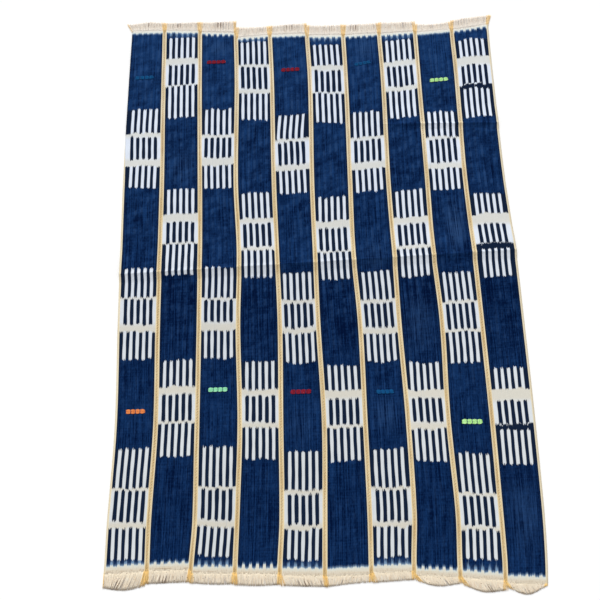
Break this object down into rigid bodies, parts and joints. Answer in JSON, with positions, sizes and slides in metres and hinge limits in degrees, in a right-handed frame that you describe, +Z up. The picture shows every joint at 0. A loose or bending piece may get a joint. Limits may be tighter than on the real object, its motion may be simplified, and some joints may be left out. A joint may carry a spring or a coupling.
{
  "type": "handwoven indigo cloth",
  "caption": "Flat rectangular cotton cloth of narrow indigo strips with white resist-dyed bars, ochre seams, small coloured marks and a cut fringe at both ends.",
  "frame": {"origin": "on the surface the cloth lies on, under the middle of its outline", "axes": "+Y along the warp towards the upper end, +X across the strips to the right, +Z up out of the face"},
  "size_m": [1.0435, 1.5406, 0.0054],
  "materials": {
    "indigo_cotton": "matte",
    "undyed_cotton": "matte",
    "ochre_cotton": "matte",
    "red_yarn": "matte",
    "blue_yarn": "matte",
    "lime_yarn": "matte",
    "green_yarn": "matte",
    "orange_yarn": "matte"
  },
  "bodies": {
    "root": {"strip_01": "indigo_cotton", "strip_02": "indigo_cotton", "strip_03": "indigo_cotton", "strip_04": "indigo_cotton", "strip_05": "indigo_cotton", "strip_06": "indigo_cotton", "strip_07": "indigo_cotton", "strip_08": "indigo_cotton", "strip_09": "indigo_cotton", "strip_10": "indigo_cotton", "fringe_top_01": "undyed_cotton", "fringe_top_02": "undyed_cotton", "fringe_top_03": "undyed_cotton", "fringe_top_04": "undyed_cotton", "fringe_top_05": "undyed_cotton", "fringe_top_06": "undyed_cotton", "fringe_top_07": "undyed_cotton", "fringe_top_08": "undyed_cotton", "fringe_top_09": "undyed_cotton", "fringe_top_10": "undyed_cotton", "fringe_bottom_01": "undyed_cotton", "fringe_bottom_02": "undyed_cotton", "fringe_bottom_03": "undyed_cotton", "fringe_bottom_04": "undyed_cotton", "fringe_bottom_05": "undyed_cotton", "fringe_bottom_06": "undyed_cotton", "fringe_bottom_07": "undyed_cotton", "fringe_bottom_08": "undyed_cotton", "fringe_bottom_09": "undyed_cotton", "fringe_bottom_10": "undyed_cotton", "mark_upper_01": "blue_yarn", "mark_upper_03": "red_yarn", "mark_upper_05": "red_yarn", "mark_upper_07": "blue_yarn", "mark_upper_09": "lime_yarn", "mark_lower_01": "orange_yarn", "mark_lower_03": "green_yarn", "mark_lower_05": "red_yarn", "mark_lower_07": "blue_yarn", "mark_lower_09": "lime_yarn"}
  },
  "joints": []
}
